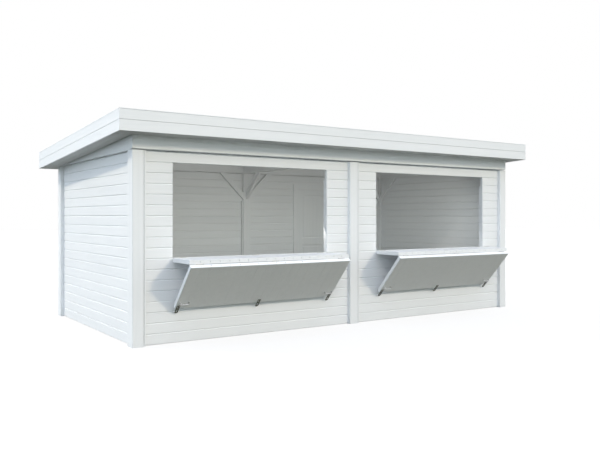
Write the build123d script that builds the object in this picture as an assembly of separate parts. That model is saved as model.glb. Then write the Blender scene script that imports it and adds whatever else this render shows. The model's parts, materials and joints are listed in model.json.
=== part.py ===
from build123d import *
import math
import os

# Wooden market hut with two fold-out serving hatches and a back door.
# Millimetres. X runs along the front, Y from the front to the back, Z up from the ground.
# The origin lies on the ground, under the middle of the whole object.

# Timber frame
HUT_LENGTH = 6000
HUT_DEPTH = 2955
POST_SIZE = 130
POST_CHAMFER = 4
BEAM_HEIGHT = 120
BRACE_LEG = 430
BRACE_WIDTH = 80
BRACE_THICKNESS = 40

# Board walls
WALL_THICKNESS = 44
GROUND_GAP = 6
BOARD_PITCH = 117
HATCH_ROWS = 9
HEADER_ROWS = 1

# Serving hatches
WALL_BESIDE_HATCH = 347.5
HATCH_LAP = 5
HATCH_HEAD_LAP = 28.5
PANEL_THICKNESS = 45
COUNTER_DEPTH = 434
COUNTER_DROP = 2
LEAF_WALL_GAP = 35
JAMB_BATTEN_WIDTH = 60
JAMB_BATTEN_THICKNESS = 25
JAMB_BATTEN_DROP = 125

# Butt hinges of the hatches and the door
HINGE_LENGTH = 90
KNUCKLE_RADIUS = 5
KNUCKLE_SIDES = 12
PIN_RADIUS = 2.5
PIN_CLEARANCE = 0.05
KNUCKLE_GAP = 0.5
WING_THICKNESS = 2
WING_REACH = 42
HINGE_SETBACK = 6.5
HATCH_HINGE_INSET = 120
HATCH_AXIS_STANDOFF = 10

# Hasps and pull handles on the hatch leaves
HASP_WIDTH = 40
HASP_LENGTH = 120
HASP_REACH = 72
HASP_THICKNESS = 4
HASP_TIP_RADIUS = 17
HASP_SLOT_WIDTH = 13
HASP_SLOT_LENGTH = 36
HASP_INSET = 32
PULL_LENGTH = 110
PULL_HEIGHT = 34
PULL_BAR_THICKNESS = 7
PULL_BAR_WIDTH = 12
PULL_BEND_RADIUS = 16
PULL_INSET = 85
PULL_RISE = 95

# Back door
DOOR_WIDTH = 890
DOOR_HEAD = 1882
WALL_OVER_DOOR = 230
DOOR_GAP = 6
DOOR_THICKNESS = 45
LINING_THICKNESS = 30
STOP_WIDTH = 12
STOP_GAP = 6
CASING_WIDTH = 80
CASING_THICKNESS = 15
FRAME_JOINT = 0.5
THRESHOLD_HEIGHT = 30
STILE_WIDTH = 110
TOP_RAIL_HEIGHT = 99
MIDDLE_RAIL_HEIGHT = 122
MIDDLE_RAIL_RISE = 862
BOTTOM_RAIL_HEIGHT = 200
PANEL_RECESS = 12
DOOR_HINGE_INSET = 230
HANDLE_RISE = 960
HANDLE_INSET = 55
HANDLE_PLATE_WIDTH = 40
HANDLE_PLATE_HEIGHT = 220
HANDLE_PLATE_THICKNESS = 6
HANDLE_PLATE_CORNER = 8
LEVER_THICKNESS = 12
LEVER_HEIGHT = 20
LEVER_STAND_OFF = 50
LEVER_LENGTH = 120
LEVER_BEND_RADIUS = 16
LEVER_RAISE = 45

# Roof
OVERHANG = 212
ROOF_FALL = 195
EAVES_RISE = 48
FASCIA_BOARD = 115
FASCIA_JOINT = 3
FASCIA_THICKNESS = 20
SOFFIT_THICKNESS = 20
SOFFIT_JOINT = 2
DECK_THICKNESS = 18
DECK_UPSTAND = 30
COVERING_THICKNESS = 5
JOIST_COUNT = 9
JOIST_WIDTH = 60
BLOCKING_THICKNESS = 40

# Heights that follow from whole rows of boards, enough of them to clear the door
BOARD_ROWS = round((DOOR_HEAD + WALL_OVER_DOOR - GROUND_GAP) / BOARD_PITCH)
WALL_TOP = GROUND_GAP + BOARD_ROWS * BOARD_PITCH
HEAD_BOTTOM = WALL_TOP - HEADER_ROWS * BOARD_PITCH
SILL_TOP = HEAD_BOTTOM - HATCH_ROWS * BOARD_PITCH
BEAM_TOP = WALL_TOP + BEAM_HEIGHT
FASCIA_BOTTOM = BEAM_TOP + EAVES_RISE

# The counter and the leaf together close the opening.
# Folded out, the leaf leans from the counter's front edge back to the wall.
WALL_SETBACK = (POST_SIZE - WALL_THICKNESS) / 2
HATCH_AXIS_DEPTH = WALL_SETBACK - HATCH_AXIS_STANDOFF
COUNTER_TOP = SILL_TOP - COUNTER_DROP
COUNTER_BOTTOM = COUNTER_TOP - PANEL_THICKNESS
COUNTER_BACK = HATCH_AXIS_DEPTH - HINGE_SETBACK
COUNTER_FRONT = COUNTER_BACK - COUNTER_DEPTH
LEAF_AXIS_DEPTH = COUNTER_FRONT - HINGE_SETBACK
HATCH_HEIGHT = HEAD_BOTTOM + HATCH_HEAD_LAP - COUNTER_TOP
LEAF_LENGTH = HATCH_HEIGHT - COUNTER_DEPTH - 3 * HINGE_SETBACK
LEAF_FOOT = HINGE_SETBACK + LEAF_LENGTH
LEAN = math.acos((WALL_SETBACK - LEAF_WALL_GAP - LEAF_AXIS_DEPTH) / LEAF_FOOT)
FRONT_REACH = (
    PANEL_THICKNESS * math.sin(LEAN) - HINGE_SETBACK * math.cos(LEAN) - LEAF_AXIS_DEPTH
)

# Main planes of the hut
LEFT = -HUT_LENGTH / 2
RIGHT = HUT_LENGTH / 2
FRONT = (FRONT_REACH - HUT_DEPTH - OVERHANG) / 2
BACK = FRONT + HUT_DEPTH
ROOF_LEFT = LEFT - OVERHANG
ROOF_RIGHT = RIGHT + OVERHANG
ROOF_FRONT = FRONT - OVERHANG
ROOF_BACK = BACK + OVERHANG
BAY_CENTRE = (HUT_LENGTH - POST_SIZE) / 4
BAY_HALF = (HUT_LENGTH - 3 * POST_SIZE) / 4
FASCIA_HEIGHT = 2 * FASCIA_BOARD + FASCIA_JOINT
DECK_TOP = FASCIA_HEIGHT - DECK_UPSTAND
DECK_BOTTOM = DECK_TOP - DECK_THICKNESS
OPENING_WIDTH = 2 * (BAY_HALF - WALL_BESIDE_HATCH)
HATCH_WIDTH = OPENING_WIDTH + 2 * HATCH_LAP


def block(x_span, y_span, z_span):
    """A plain squared timber between two planes in each direction."""
    size = [span[1] - span[0] for span in (x_span, y_span, z_span)]
    low = [span[0] for span in (x_span, y_span, z_span)]
    return Pos(*low) * Box(*size, align=(Align.MIN, Align.MIN, Align.MIN))


def span(middle, width):
    """The two ends of a width about its middle."""
    return middle - width / 2, middle + width / 2


def save(name, *solids):
    """Write the solids of one named piece."""
    shape = solids[0] if len(solids) == 1 else Compound(children=list(solids))
    export_step(shape, os.path.join("parts", name + ".step"))


# Timber frame

def make_posts():
    """Six squared posts with softened long edges, from the ground to the beams."""
    columns = {"left": LEFT + POST_SIZE / 2, "centre": 0, "right": RIGHT - POST_SIZE / 2}
    rows = {"front": FRONT + POST_SIZE / 2, "back": BACK - POST_SIZE / 2}
    for row, y in rows.items():
        for column, x in columns.items():
            post = block(span(x, POST_SIZE), span(y, POST_SIZE), (0, WALL_TOP))
            post = chamfer(post.edges().filter_by(Axis.Z), POST_CHAMFER)
            save(f"{row}_{column}_post", post)


def make_beams():
    """Level beams on the post tops, with cross beams between the front and back ones."""
    z_span = (WALL_TOP, BEAM_TOP)
    cross_span = (FRONT + POST_SIZE, BACK - POST_SIZE)
    save("front_beam", block((LEFT, RIGHT), (FRONT, FRONT + POST_SIZE), z_span))
    save("back_beam", block((LEFT, RIGHT), (BACK - POST_SIZE, BACK), z_span))
    left = block((LEFT, LEFT + POST_SIZE), cross_span, z_span)
    right = block((RIGHT - POST_SIZE, RIGHT), cross_span, z_span)
    save("side_beams", left, right)
    save("centre_beam", block(span(0, POST_SIZE), cross_span, z_span))


def brace(x, y, away):
    """A knee brace in the corner under a beam, leaning away from a post's face."""
    plane = Plane((x, y, WALL_TOP), x_dir=away, z_dir=Vector(*away).cross(Vector(0, 0, 1)))
    cut = BRACE_WIDTH * math.sqrt(2)
    corners = [(0, -BRACE_LEG), (BRACE_LEG, 0), (BRACE_LEG - cut, 0), (0, cut - BRACE_LEG)]
    profile = make_face(plane * Polyline(*corners, close=True))
    return extrude(profile, BRACE_THICKNESS / 2, both=True)


def make_braces():
    """Pairs of braces on the room side of each wall, and one each way along the centre beam."""
    lean_right = (1, 0, 0)
    lean_left = (-1, 0, 0)
    lean_back = (0, 1, 0)
    lean_front = (0, -1, 0)
    inset = POST_SIZE - BRACE_THICKNESS / 2
    for name, y in (("front_braces", FRONT + inset), ("back_braces", BACK - inset)):
        save(
            name,
            brace(LEFT + POST_SIZE, y, lean_right),
            brace(-POST_SIZE / 2, y, lean_left),
            brace(POST_SIZE / 2, y, lean_right),
            brace(RIGHT - POST_SIZE, y, lean_left),
        )
    sides = []
    for x in (LEFT + inset, RIGHT - inset):
        sides.append(brace(x, FRONT + POST_SIZE, lean_back))
        sides.append(brace(x, BACK - POST_SIZE, lean_front))
    save("side_braces", *sides)
    centre_front = brace(0, FRONT + POST_SIZE, lean_back)
    centre_back = brace(0, BACK - POST_SIZE, lean_front)
    save("centre_braces", centre_front, centre_back)


# Board walls

def make_walls():
    """Board infill in the middle of the posts, open at the hatches and the door."""
    front_span = (FRONT + WALL_SETBACK, FRONT + WALL_SETBACK + WALL_THICKNESS)
    back_span = (BACK - WALL_SETBACK - WALL_THICKNESS, BACK - WALL_SETBACK)
    side_span = (FRONT + POST_SIZE, BACK - POST_SIZE)
    whole = (GROUND_GAP, WALL_TOP)
    below, over, beside = [], [], []
    for bay in (-BAY_CENTRE, BAY_CENTRE):
        bay_span = (bay - BAY_HALF, bay + BAY_HALF)
        opening = span(bay, OPENING_WIDTH)
        below.append(block(bay_span, front_span, (GROUND_GAP, SILL_TOP)))
        over.append(block(bay_span, front_span, (HEAD_BOTTOM, WALL_TOP)))
        for x_span in ((bay_span[0], opening[0]), (opening[1], bay_span[1])):
            beside.append(block(x_span, front_span, (SILL_TOP, HEAD_BOTTOM)))
    save("front_wall_below_hatches", *below)
    save("front_wall_over_hatches", *over)
    save("front_wall_beside_hatches", *beside)

    left_span = (LEFT + WALL_SETBACK, LEFT + WALL_SETBACK + WALL_THICKNESS)
    right_span = (RIGHT - WALL_SETBACK - WALL_THICKNESS, RIGHT - WALL_SETBACK)
    save("left_wall", block(left_span, side_span, whole))
    save("right_wall", block(right_span, side_span, whole))

    left_bay = (-BAY_CENTRE - BAY_HALF, -BAY_CENTRE + BAY_HALF)
    right_bay = (BAY_CENTRE - BAY_HALF, BAY_CENTRE + BAY_HALF)
    doorway = span(BAY_CENTRE, DOOR_WIDTH + 2 * LINING_THICKNESS)
    lintel = DOOR_HEAD + LINING_THICKNESS
    save("back_left_wall", block(left_bay, back_span, whole))
    save(
        "back_wall_beside_door",
        block((right_bay[0], doorway[0]), back_span, (GROUND_GAP, lintel)),
        block((doorway[1], right_bay[1]), back_span, (GROUND_GAP, lintel)),
    )
    save("back_wall_over_door", block(right_bay, back_span, (lintel, WALL_TOP)))


def make_jamb_battens():
    """Upright battens on the room side of the wall, flush with the hatch openings."""
    inner_face = FRONT + WALL_SETBACK + WALL_THICKNESS
    y_span = (inner_face, inner_face + JAMB_BATTEN_THICKNESS)
    z_span = (SILL_TOP, HEAD_BOTTOM - JAMB_BATTEN_DROP)
    battens = []
    for bay in (-BAY_CENTRE, BAY_CENTRE):
        low, high = span(bay, OPENING_WIDTH)
        battens.append(block((low - JAMB_BATTEN_WIDTH, low), y_span, z_span))
        battens.append(block((high, high + JAMB_BATTEN_WIDTH), y_span, z_span))
    save("hatch_jamb_battens", *battens)


# Hinges

def hinge_wing(carries_pin, plate_low, plate_high, face):
    """One half of a butt hinge about the X axis, with its wing under a plane at height face.

    The wing runs along +Y from plate_low to plate_high.
    The half that carries the pin has the two outer knuckles, and the other the middle one.
    """
    third = HINGE_LENGTH / 3
    wing = block(span(0, HINGE_LENGTH), (plate_low, plate_high), (face - WING_THICKNESS, face))
    middles = (-third, third) if carries_pin else (0,)
    turned = Rot(0, 90, 0)
    knuckle_shape = RegularPolygon(KNUCKLE_RADIUS, KNUCKLE_SIDES)
    web_span = (min(0, face - WING_THICKNESS), max(0, face))
    for middle in middles:
        width = third - KNUCKLE_GAP
        knuckle = extrude(Plane.YZ.offset(middle) * knuckle_shape, width / 2, both=True)
        web = block(span(middle, width), (0, plate_low + WING_THICKNESS), web_span)
        wing = wing + knuckle + web
    pin = turned * Cylinder(PIN_RADIUS, HINGE_LENGTH - KNUCKLE_GAP)
    if carries_pin:
        return wing + pin
    bore = turned * Cylinder(PIN_RADIUS + PIN_CLEARANCE, HINGE_LENGTH)
    return wing - bore


# Serving hatches

def leaf_frame(bay):
    """Frame at the leaf's hinge: Y runs down the leaf, Z stands on its hidden face."""
    down = (0, math.cos(LEAN), -math.sin(LEAN))
    hidden = (0, math.sin(LEAN), math.cos(LEAN))
    origin = (bay, FRONT + LEAF_AXIS_DEPTH, COUNTER_BOTTOM)
    return Plane(origin, x_dir=Vector(*down).cross(Vector(*hidden)), z_dir=hidden)


def make_hasp(middle):
    """A slotted steel strap that stands past the leaf's free edge, in the leaf's frame."""
    tip = LEAF_FOOT + HASP_REACH
    z_span = (-PANEL_THICKNESS - HASP_THICKNESS, -PANEL_THICKNESS)
    strap = block(span(middle, HASP_WIDTH), (tip - HASP_LENGTH, tip), z_span)
    strap = fillet(strap.edges().filter_by(Axis.Z).group_by(Axis.Y)[-1], HASP_TIP_RADIUS)
    slot_plane = Plane((middle, tip - HASP_REACH / 2, -PANEL_THICKNESS), x_dir=(0, 1, 0), z_dir=(0, 0, 1))
    slot = extrude(slot_plane * SlotOverall(HASP_SLOT_LENGTH, HASP_SLOT_WIDTH), HASP_THICKNESS, both=True)
    return strap - slot


def make_pull(middle):
    """A bow handle of flat bar on the leaf's showing face, in the leaf's frame."""
    rise = LEAF_FOOT - PULL_RISE
    foot_line = (Align.CENTER, Align.MIN)
    bow = Rectangle(PULL_LENGTH, PULL_HEIGHT, align=foot_line)
    bow = fillet(bow.vertices().group_by(Axis.Y)[-1], PULL_BEND_RADIUS)
    hollow = Rectangle(
        PULL_LENGTH - 2 * PULL_BAR_THICKNESS, PULL_HEIGHT - PULL_BAR_THICKNESS, align=foot_line
    )
    hollow = fillet(hollow.vertices().group_by(Axis.Y)[-1], PULL_BEND_RADIUS - PULL_BAR_THICKNESS)
    plane = Plane((middle, rise, -PANEL_THICKNESS), x_dir=(1, 0, 0), z_dir=(0, 1, 0))
    return extrude(plane * (bow - hollow), PULL_BAR_WIDTH / 2, both=True)


def make_hatch(side, bay):
    """A counter flap hinged at the sill, and a leaf that folds out under its front edge."""
    sill_edge = (bay, FRONT + HATCH_AXIS_DEPTH, COUNTER_TOP)
    front_edge = (bay, FRONT + LEAF_AXIS_DEPTH, COUNTER_BOTTOM)
    wall_axis = Plane(sill_edge, x_dir=(1, 0, 0), z_dir=(0, 1, 0)).location
    counter_axis = Plane(sill_edge, x_dir=(-1, 0, 0), z_dir=(0, -1, 0)).location
    front_axis = Plane(front_edge, x_dir=(1, 0, 0), z_dir=(0, 0, 1)).location
    leaf_axis = leaf_frame(bay).location
    wing_span = (KNUCKLE_RADIUS + KNUCKLE_GAP, WING_REACH)
    end = HATCH_WIDTH / 2 - HATCH_HINGE_INSET
    places = (-end, 0, end)

    # Upright wings on the wall and on the counter's back edge
    fixed = [wall_axis * Pos(x, 0, 0) * hinge_wing(True, *wing_span, HATCH_AXIS_STANDOFF) for x in places]
    save(f"{side}_hatch_wall_hinges", *fixed)

    counter = block(
        span(bay, HATCH_WIDTH),
        (FRONT + COUNTER_FRONT, FRONT + COUNTER_BACK),
        (COUNTER_BOTTOM, COUNTER_TOP),
    )
    save(f"{side}_counter", counter)
    turning = [counter_axis * Pos(x, 0, 0) * hinge_wing(False, *wing_span, HINGE_SETBACK) for x in places]
    carrying = [front_axis * Pos(x, 0, 0) * hinge_wing(True, *wing_span, 0) for x in places]
    save(f"{side}_counter_hinges", *turning, *carrying)

    leaf_span = (HINGE_SETBACK, LEAF_FOOT)
    leaf = leaf_axis * block(span(0, HATCH_WIDTH), leaf_span, (-PANEL_THICKNESS, 0))
    save(f"{side}_hatch_leaf", leaf)
    folding = [leaf_axis * Pos(x, 0, 0) * hinge_wing(False, *wing_span, WING_THICKNESS) for x in places]
    reach = HATCH_WIDTH / 2 - HASP_INSET
    hasps = [leaf_axis * make_hasp(x) for x in (-reach, 0, reach)]
    grip = HATCH_WIDTH / 2 - PULL_INSET
    pulls = [leaf_axis * make_pull(x) for x in (-grip, grip)]
    save(f"{side}_hatch_leaf_fittings", *folding, *hasps, *pulls)


# Back door

def make_door():
    """A panelled door that opens outwards in a lined and cased frame."""
    outer_face = BACK - WALL_SETBACK + CASING_THICKNESS
    inner_face = BACK - WALL_SETBACK - WALL_THICKNESS - CASING_THICKNESS
    low, high = span(BAY_CENTRE, DOOR_WIDTH)
    leaf_inside = outer_face - DOOR_THICKNESS
    stop_span = (inner_face, leaf_inside - STOP_GAP)
    wall_span = (inner_face + CASING_THICKNESS, outer_face - CASING_THICKNESS)

    # Each frame member is a lining with a casing on both faces and a stop on the room side
    z_span = (GROUND_GAP, DOOR_HEAD - FRAME_JOINT)
    members = []
    for edge, out in ((low, -1), (high, 1)):
        lining = block(sorted((edge, edge + out * LINING_THICKNESS)), (inner_face, outer_face), z_span)
        stop = block(sorted((edge - out * STOP_WIDTH, edge)), stop_span, z_span)
        member = lining + stop
        casing_span = sorted((edge, edge + out * CASING_WIDTH))
        member += block(casing_span, (inner_face, wall_span[0]), z_span)
        member += block(casing_span, (wall_span[1], outer_face), z_span)
        members.append(member)
    head_span = (low - CASING_WIDTH, high + CASING_WIDTH)
    lining_span = (low - LINING_THICKNESS, high + LINING_THICKNESS)
    head = block(lining_span, (inner_face, outer_face), (DOOR_HEAD, DOOR_HEAD + LINING_THICKNESS))
    head += block(head_span, (inner_face, wall_span[0]), (DOOR_HEAD, DOOR_HEAD + CASING_WIDTH))
    head += block(head_span, (wall_span[1], outer_face), (DOOR_HEAD, DOOR_HEAD + CASING_WIDTH))
    stop_ends = (low + STOP_WIDTH + FRAME_JOINT, high - STOP_WIDTH - FRAME_JOINT)
    head += block(stop_ends, stop_span, (DOOR_HEAD - STOP_WIDTH, DOOR_HEAD))
    threshold = block(stop_ends, (inner_face, outer_face), (GROUND_GAP, GROUND_GAP + THRESHOLD_HEIGHT))
    save("door_frame", *members, head, threshold)

    leaf_x = (low + DOOR_GAP, high - DOOR_GAP)
    leaf_z = (GROUND_GAP + THRESHOLD_HEIGHT + DOOR_GAP, DOOR_HEAD - DOOR_GAP)
    leaf = block(leaf_x, (leaf_inside, outer_face), leaf_z)
    panel_x = (leaf_x[0] + STILE_WIDTH, leaf_x[1] - STILE_WIDTH)
    rail = leaf_z[0] + MIDDLE_RAIL_RISE
    panels = (
        (leaf_z[0] + BOTTOM_RAIL_HEIGHT, rail),
        (rail + MIDDLE_RAIL_HEIGHT, leaf_z[1] - TOP_RAIL_HEIGHT),
    )
    for panel_z in panels:
        leaf -= block(panel_x, (leaf_inside, leaf_inside + PANEL_RECESS), panel_z)
        leaf -= block(panel_x, (outer_face - PANEL_RECESS, outer_face), panel_z)
    save("door_leaf", leaf)

    # The hinge pins stand outside the leaf, over the gap beside the hinge stile
    axis_x = low + DOOR_GAP / 2
    axis_y = outer_face + KNUCKLE_RADIUS
    upright = Plane((axis_x, axis_y, 0), x_dir=(0, 0, 1), z_dir=(0, -1, 0)).location
    flipped = Plane((axis_x, axis_y, 0), x_dir=(0, 0, -1), z_dir=(0, -1, 0)).location
    frame_halves, leaf_halves = [], []
    wing_span = (KNUCKLE_RADIUS + KNUCKLE_GAP, WING_REACH)
    face = KNUCKLE_RADIUS
    middle = (leaf_z[0] + leaf_z[1]) / 2
    for z in (leaf_z[0] + DOOR_HINGE_INSET, middle, leaf_z[1] - DOOR_HINGE_INSET):
        frame_halves.append(upright * Pos(z, 0, 0) * hinge_wing(True, *wing_span, face))
        leaf_halves.append(flipped * Pos(-z, 0, 0) * hinge_wing(False, *wing_span, face))
    save("door_frame_hinges", *frame_halves)
    handle_x = leaf_x[1] - HANDLE_INSET
    handles = [make_handle(handle_x, outer_face, 1), make_handle(handle_x, leaf_inside, -1)]
    save("door_fittings", *leaf_halves, *handles)


def make_handle(x, face, out):
    """A flat lever on a long plate, on one face of the door."""
    plane = Plane((x, face, HANDLE_RISE), x_dir=(out, 0, 0), z_dir=(0, out, 0))
    plate_shape = RectangleRounded(HANDLE_PLATE_WIDTH, HANDLE_PLATE_HEIGHT, HANDLE_PLATE_CORNER)
    plate = extrude(plane * plate_shape, HANDLE_PLATE_THICKNESS)
    neck = LEVER_THICKNESS / 2
    inside = LEVER_STAND_OFF - LEVER_THICKNESS
    outline = [
        (neck, 0),
        (neck, LEVER_STAND_OFF),
        (neck - LEVER_LENGTH, LEVER_STAND_OFF),
        (neck - LEVER_LENGTH, inside),
        (-neck, inside),
        (-neck, 0),
    ]
    shape = make_face(Polyline(*outline, close=True))
    bend = shape.vertices().sort_by(lambda corner: corner.X + corner.Y)[-1]
    shape = fillet(bend, LEVER_BEND_RADIUS)
    level = Plane((x, face, HANDLE_RISE + LEVER_RAISE), x_dir=(1, 0, 0), z_dir=(0, 0, out))
    return plate + extrude(level * shape, LEVER_HEIGHT / 2, both=True)


# Roof

def roof_line(y):
    """Height of the fascia's lower edge, which falls towards the back."""
    return FASCIA_BOTTOM - ROOF_FALL * (y - ROOF_FRONT) / (ROOF_BACK - ROOF_FRONT)


def sloped(x_span, y_span, rise_span):
    """A board that follows the roof's fall, between two rises over the roof line."""
    low, high = rise_span
    corners = [
        (y_span[0], roof_line(y_span[0]) + low),
        (y_span[1], roof_line(y_span[1]) + low),
        (y_span[1], roof_line(y_span[1]) + high),
        (y_span[0], roof_line(y_span[0]) + high),
    ]
    profile = make_face(Plane.YZ.offset(x_span[0]) * Polyline(*corners, close=True))
    return extrude(profile, x_span[1] - x_span[0])


def mitred(outer, inner, z_span):
    """A prism over the plan of one fascia board, between its outer and its inner corners."""
    plan = make_face(Plane.XY.offset(z_span[0]) * Polyline(*outer, *reversed(inner), close=True))
    return extrude(plan, z_span[1] - z_span[0], dir=(0, 0, 1))


def make_roof():
    """A low roof with tapered joists on level beams, boxed eaves and a mitred two-board fascia."""
    in_x = (ROOF_LEFT + FASCIA_THICKNESS, ROOF_RIGHT - FASCIA_THICKNESS)
    in_y = (ROOF_FRONT + FASCIA_THICKNESS, ROOF_BACK - FASCIA_THICKNESS)
    save("roof_deck", sloped(in_x, in_y, (DECK_BOTTOM, DECK_TOP)))
    save("roof_covering", sloped(in_x, in_y, (DECK_TOP, DECK_TOP + COVERING_THICKNESS)))

    soffit_rise = (0, SOFFIT_THICKNESS)
    side_y = (FRONT + SOFFIT_JOINT, BACK - SOFFIT_JOINT)
    save(
        "soffit",
        sloped(in_x, (in_y[0], FRONT), soffit_rise),
        sloped(in_x, (BACK, in_y[1]), soffit_rise),
        sloped((in_x[0], LEFT), side_y, soffit_rise),
        sloped((RIGHT, in_x[1]), side_y, soffit_rise),
    )

    boards = ((0, FASCIA_BOARD), (FASCIA_BOARD + FASCIA_JOINT, FASCIA_HEIGHT))
    whole_height = (0, FASCIA_BOTTOM + FASCIA_HEIGHT)
    fronts, backs, sides = [], [], []
    for low, high in boards:
        for boards_list, outer_y, inner_y in ((fronts, ROOF_FRONT, in_y[0]), (backs, ROOF_BACK, in_y[1])):
            edge = roof_line(outer_y)
            outer = [(ROOF_LEFT, outer_y), (ROOF_RIGHT, outer_y)]
            inner = [(in_x[0], inner_y), (in_x[1], inner_y)]
            boards_list.append(mitred(outer, inner, (edge + low, edge + high)))
        for outer_x, inner_x in ((ROOF_LEFT, in_x[0]), (ROOF_RIGHT, in_x[1])):
            outer = [(outer_x, ROOF_FRONT), (outer_x, ROOF_BACK)]
            inner = [(inner_x, in_y[0]), (inner_x, in_y[1])]
            board = sloped(sorted((outer_x, inner_x)), (ROOF_FRONT, ROOF_BACK), (low, high))
            sides.append(board & mitred(outer, inner, whole_height))
    save("front_fascia", *fronts)
    save("back_fascia", *backs)
    save("side_fascias", *sides)

    # A joist lies level on the beams, and its tails fill the eaves over the soffit
    spacing = (HUT_LENGTH - JOIST_WIDTH) / (JOIST_COUNT - 1)
    lefts = [LEFT + index * spacing for index in range(JOIST_COUNT)]
    outline = [
        (in_y[0], roof_line(in_y[0]) + DECK_BOTTOM),
        (in_y[0], roof_line(in_y[0]) + SOFFIT_THICKNESS),
        (FRONT, roof_line(FRONT) + SOFFIT_THICKNESS),
        (FRONT, BEAM_TOP),
        (BACK, BEAM_TOP),
        (BACK, roof_line(BACK) + SOFFIT_THICKNESS),
        (in_y[1], roof_line(in_y[1]) + SOFFIT_THICKNESS),
        (in_y[1], roof_line(in_y[1]) + DECK_BOTTOM),
    ]
    joists = []
    for x in lefts:
        profile = make_face(Plane.YZ.offset(x) * Polyline(*outline, close=True))
        joists.append(extrude(profile, JOIST_WIDTH))
    save("roof_joists", *joists)

    # Blocking closes the wall line between the joists
    blocks = []
    for x in lefts[:-1]:
        for y_span in ((FRONT, FRONT + BLOCKING_THICKNESS), (BACK - BLOCKING_THICKNESS, BACK)):
            corners = [
                (y_span[0], BEAM_TOP),
                (y_span[1], BEAM_TOP),
                (y_span[1], roof_line(y_span[1]) + DECK_BOTTOM),
                (y_span[0], roof_line(y_span[0]) + DECK_BOTTOM),
            ]
            profile = make_face(Plane.YZ.offset(x + JOIST_WIDTH) * Polyline(*corners, close=True))
            blocks.append(extrude(profile, spacing - JOIST_WIDTH))
    save("roof_blocking", *blocks)


os.makedirs("parts", exist_ok=True)
make_posts()
make_beams()
make_braces()
make_walls()
make_jamb_battens()
make_hatch("left", -BAY_CENTRE)
make_hatch("right", BAY_CENTRE)
make_door()
make_roof()
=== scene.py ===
import json
import math
import random

import bmesh
import bpy
from mathutils import Matrix, Vector


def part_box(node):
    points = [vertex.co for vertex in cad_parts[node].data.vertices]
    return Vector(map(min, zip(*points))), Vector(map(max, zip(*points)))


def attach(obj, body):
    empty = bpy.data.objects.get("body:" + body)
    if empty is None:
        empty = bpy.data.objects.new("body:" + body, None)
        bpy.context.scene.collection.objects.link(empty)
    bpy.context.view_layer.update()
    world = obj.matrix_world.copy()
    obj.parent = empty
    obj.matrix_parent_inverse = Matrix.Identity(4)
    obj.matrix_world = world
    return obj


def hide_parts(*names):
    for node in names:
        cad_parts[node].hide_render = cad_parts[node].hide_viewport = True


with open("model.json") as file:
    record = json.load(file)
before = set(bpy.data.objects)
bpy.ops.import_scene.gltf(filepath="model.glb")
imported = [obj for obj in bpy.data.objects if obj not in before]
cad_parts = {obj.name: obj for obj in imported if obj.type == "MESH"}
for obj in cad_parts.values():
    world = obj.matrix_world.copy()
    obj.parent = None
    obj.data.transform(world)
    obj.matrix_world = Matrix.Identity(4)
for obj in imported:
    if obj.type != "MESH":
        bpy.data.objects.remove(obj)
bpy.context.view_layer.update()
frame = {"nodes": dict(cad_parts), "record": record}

# White market hut of grooved boards between posts, with two fold-out serving hatches.
# Metres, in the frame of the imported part.

pick = random.Random(7)

# Wall boards, with a chamfered joint that shows a dark slit
BOARD_PITCH = 0.117
UNDER_CHAMFER = 0.004
UPPER_CHAMFER = 0.007
SLIT_WIDTH = 0.0035
SLIT_DEPTH = 0.009

# Hatch boards, tongued, with each tongue short of the bottom of its groove
HATCH_BOARDS = 18
HATCH_CHAMFER = 0.0015
TONGUE_THICKNESS = 0.010
TONGUE_LENGTH = 0.003
GROOVE_WIDTH = 0.013
GROOVE_DEPTH = 0.012

# Strips beside the posts, nearly flush with them behind a narrow gap
STRIP_WIDTH = 0.018
STRIP_GAP = 0.006
STRIP_SETBACK = 0.003
STRIP_BELOW_BRACES = 0.02

# Fielded panels of the door
PANEL_SKIN = 0.005
FIELD_MARGIN = 0.03
FIELD_SLOPE = 0.015
FIELD_RISE = 0.004

# Roof boards, fascia cap and roofing sheet
DECK_BOARDS = 28
SOFFIT_BOARDS = 2
ROOF_BOARD_CHAMFER = 0.003
CAP_HEIGHT = 0.010
CAP_GAP = 0.002
SHEET_STRIPS = 6
SHEET_RIM = 0.004
SHEET_UPSTAND = 0.018
LAP_WIDTH = 0.08
LAP_THICKNESS = 0.002
LAP_EDGE = 0.003

# Screws of the hasps, hinges and handle plates
SCREW_RADIUS = 0.0045
SCREW_TOP_RADIUS = 0.0038
SCREW_HEIGHT = 0.0016
SCREW_SIDES = 12
SOCKET_RIM = 0.002
SOCKET_DEPTH = 0.0008
HASP_WIDTH = 0.04
HASP_THICKNESS = 0.004
HASP_REACH = 0.06
HASP_SCREW_RISES = (0.014, 0.034)
HASP_SCREW_SPREAD = 0.011
HINGE_LENGTH = 0.09
WING_THICKNESS = 0.002
WING_SCREW_INSET = 0.012
PLATE_HEIGHT = 0.22
PLATE_WIDTH = 0.04
PLATE_THICKNESS = 0.006
PLATE_SCREW_INSET = 0.016
SIZE_MARGIN = 0.003

# Eased edges, and what counts as joined, flat or sharp
TIMBER_EASE = 0.004
BEAM_SLOPE = 0.014
BOARD_EASE = 0.003
FASCIA_EASE = 0.0015
STEEL_EASE = 0.0006
WELD = 0.00001
COLUMN_DIGITS = 3
FLAT_ANGLE = math.radians(1)
SHARP_ANGLE = math.radians(35)

# Directions
RIGHTWARD = (1, 0, 0)
LEFTWARD = (-1, 0, 0)
BACKWARD = (0, 1, 0)
FORWARD = (0, -1, 0)
UPWARD = (0, 0, 1)
DOWNWARD = (0, 0, -1)

# Photograph's camera
CAMERA_PLACE = (-5.562, -8.332, 1.397)
CAMERA_TURN = math.radians(-34.04)
CAMERA_LENS = 40.81
CAMERA_SENSOR = 36
CAMERA_SHIFT = -0.0137

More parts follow.
